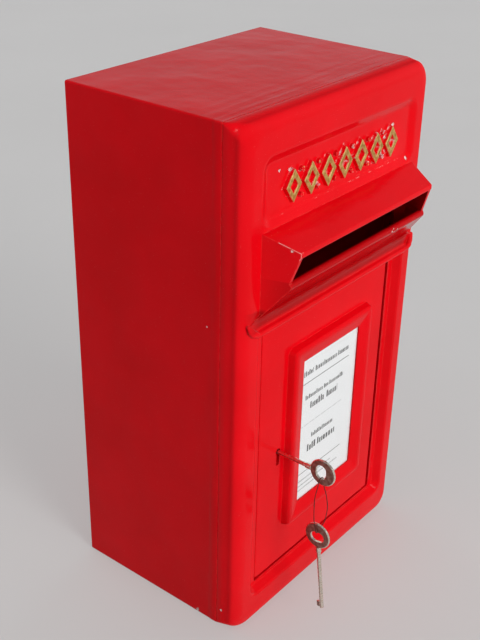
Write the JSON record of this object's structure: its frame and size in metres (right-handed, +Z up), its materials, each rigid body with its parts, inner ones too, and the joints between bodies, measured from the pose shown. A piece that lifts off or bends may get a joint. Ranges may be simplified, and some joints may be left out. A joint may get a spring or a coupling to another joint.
{
  "type": "letter box",
  "caption": "Free-standing letter box with a cast front, hooded letter slot, hinged key-locked door with a notice frame, and a spare key tied on by a wire loop.",
  "frame": {"origin": "middle of the case's base, halfway between the front border and the back", "axes": "+X to the right of someone facing the front, +Y into the box towards its back, +Z up"},
  "size_m": [0.3068, 0.2889, 0.57],
  "materials": {
    "cast_red": "gloss",
    "sheet_red": "gloss",
    "zinc_steel": "satin",
    "lock_steel": "satin",
    "tray_steel": "matte",
    "brass": "satin",
    "nickel": "polished",
    "wire": "satin",
    "pane": "gloss",
    "card": "matte"
  },
  "bodies": {
    "case": {"front_casting": "cast_red", "case_shell": "sheet_red", "back_panel": "sheet_red", "front_fixing_screws": "zinc_steel", "hinge_pin_upper": "zinc_steel", "hinge_pin_lower": "zinc_steel", "hinge_washer": "brass", "lock_keeper": "zinc_steel", "keeper_screws": "zinc_steel"},
    "door": {"door": "cast_red", "window_pane": "pane", "notice_card": "card", "card_backing_plate": "tray_steel", "backing_plate_screws": "zinc_steel", "lock_body": "lock_steel", "lock_screws": "zinc_steel"},
    "lock_core": {"lock_barrel": "brass", "lock_tongue": "zinc_steel", "tongue_nut": "zinc_steel", "door_key": "nickel"},
    "wire": {"key_wire": "wire"},
    "spare": {"spare_key": "nickel"}
  },
  "joints": [
    {"name": "door_hinge", "type": "hinge", "parent": "case", "child": "door", "pos_m": [0.104, -0.0965, 0.202], "axis": [0, 0, 1], "range_deg": [0, 100]},
    {"name": "key_turn", "type": "hinge", "parent": "door", "child": "lock_core", "pos_m": [-0.0792, -0.09, 0.1996], "axis": [0, 1, 0], "range_deg": [0, 90]},
    {"name": "wire_swing", "type": "hinge", "parent": "lock_core", "child": "wire", "pos_m": [-0.0792, -0.1598, 0.18765], "axis": [0, 1, 0], "range_deg": [-90, 90]},
    {"name": "spare_key_swing", "type": "hinge", "parent": "wire", "child": "spare", "pos_m": [-0.0792, -0.1598, 0.12135], "axis": [1, 0, 0], "range_deg": [-60, 30]}
  ]
}
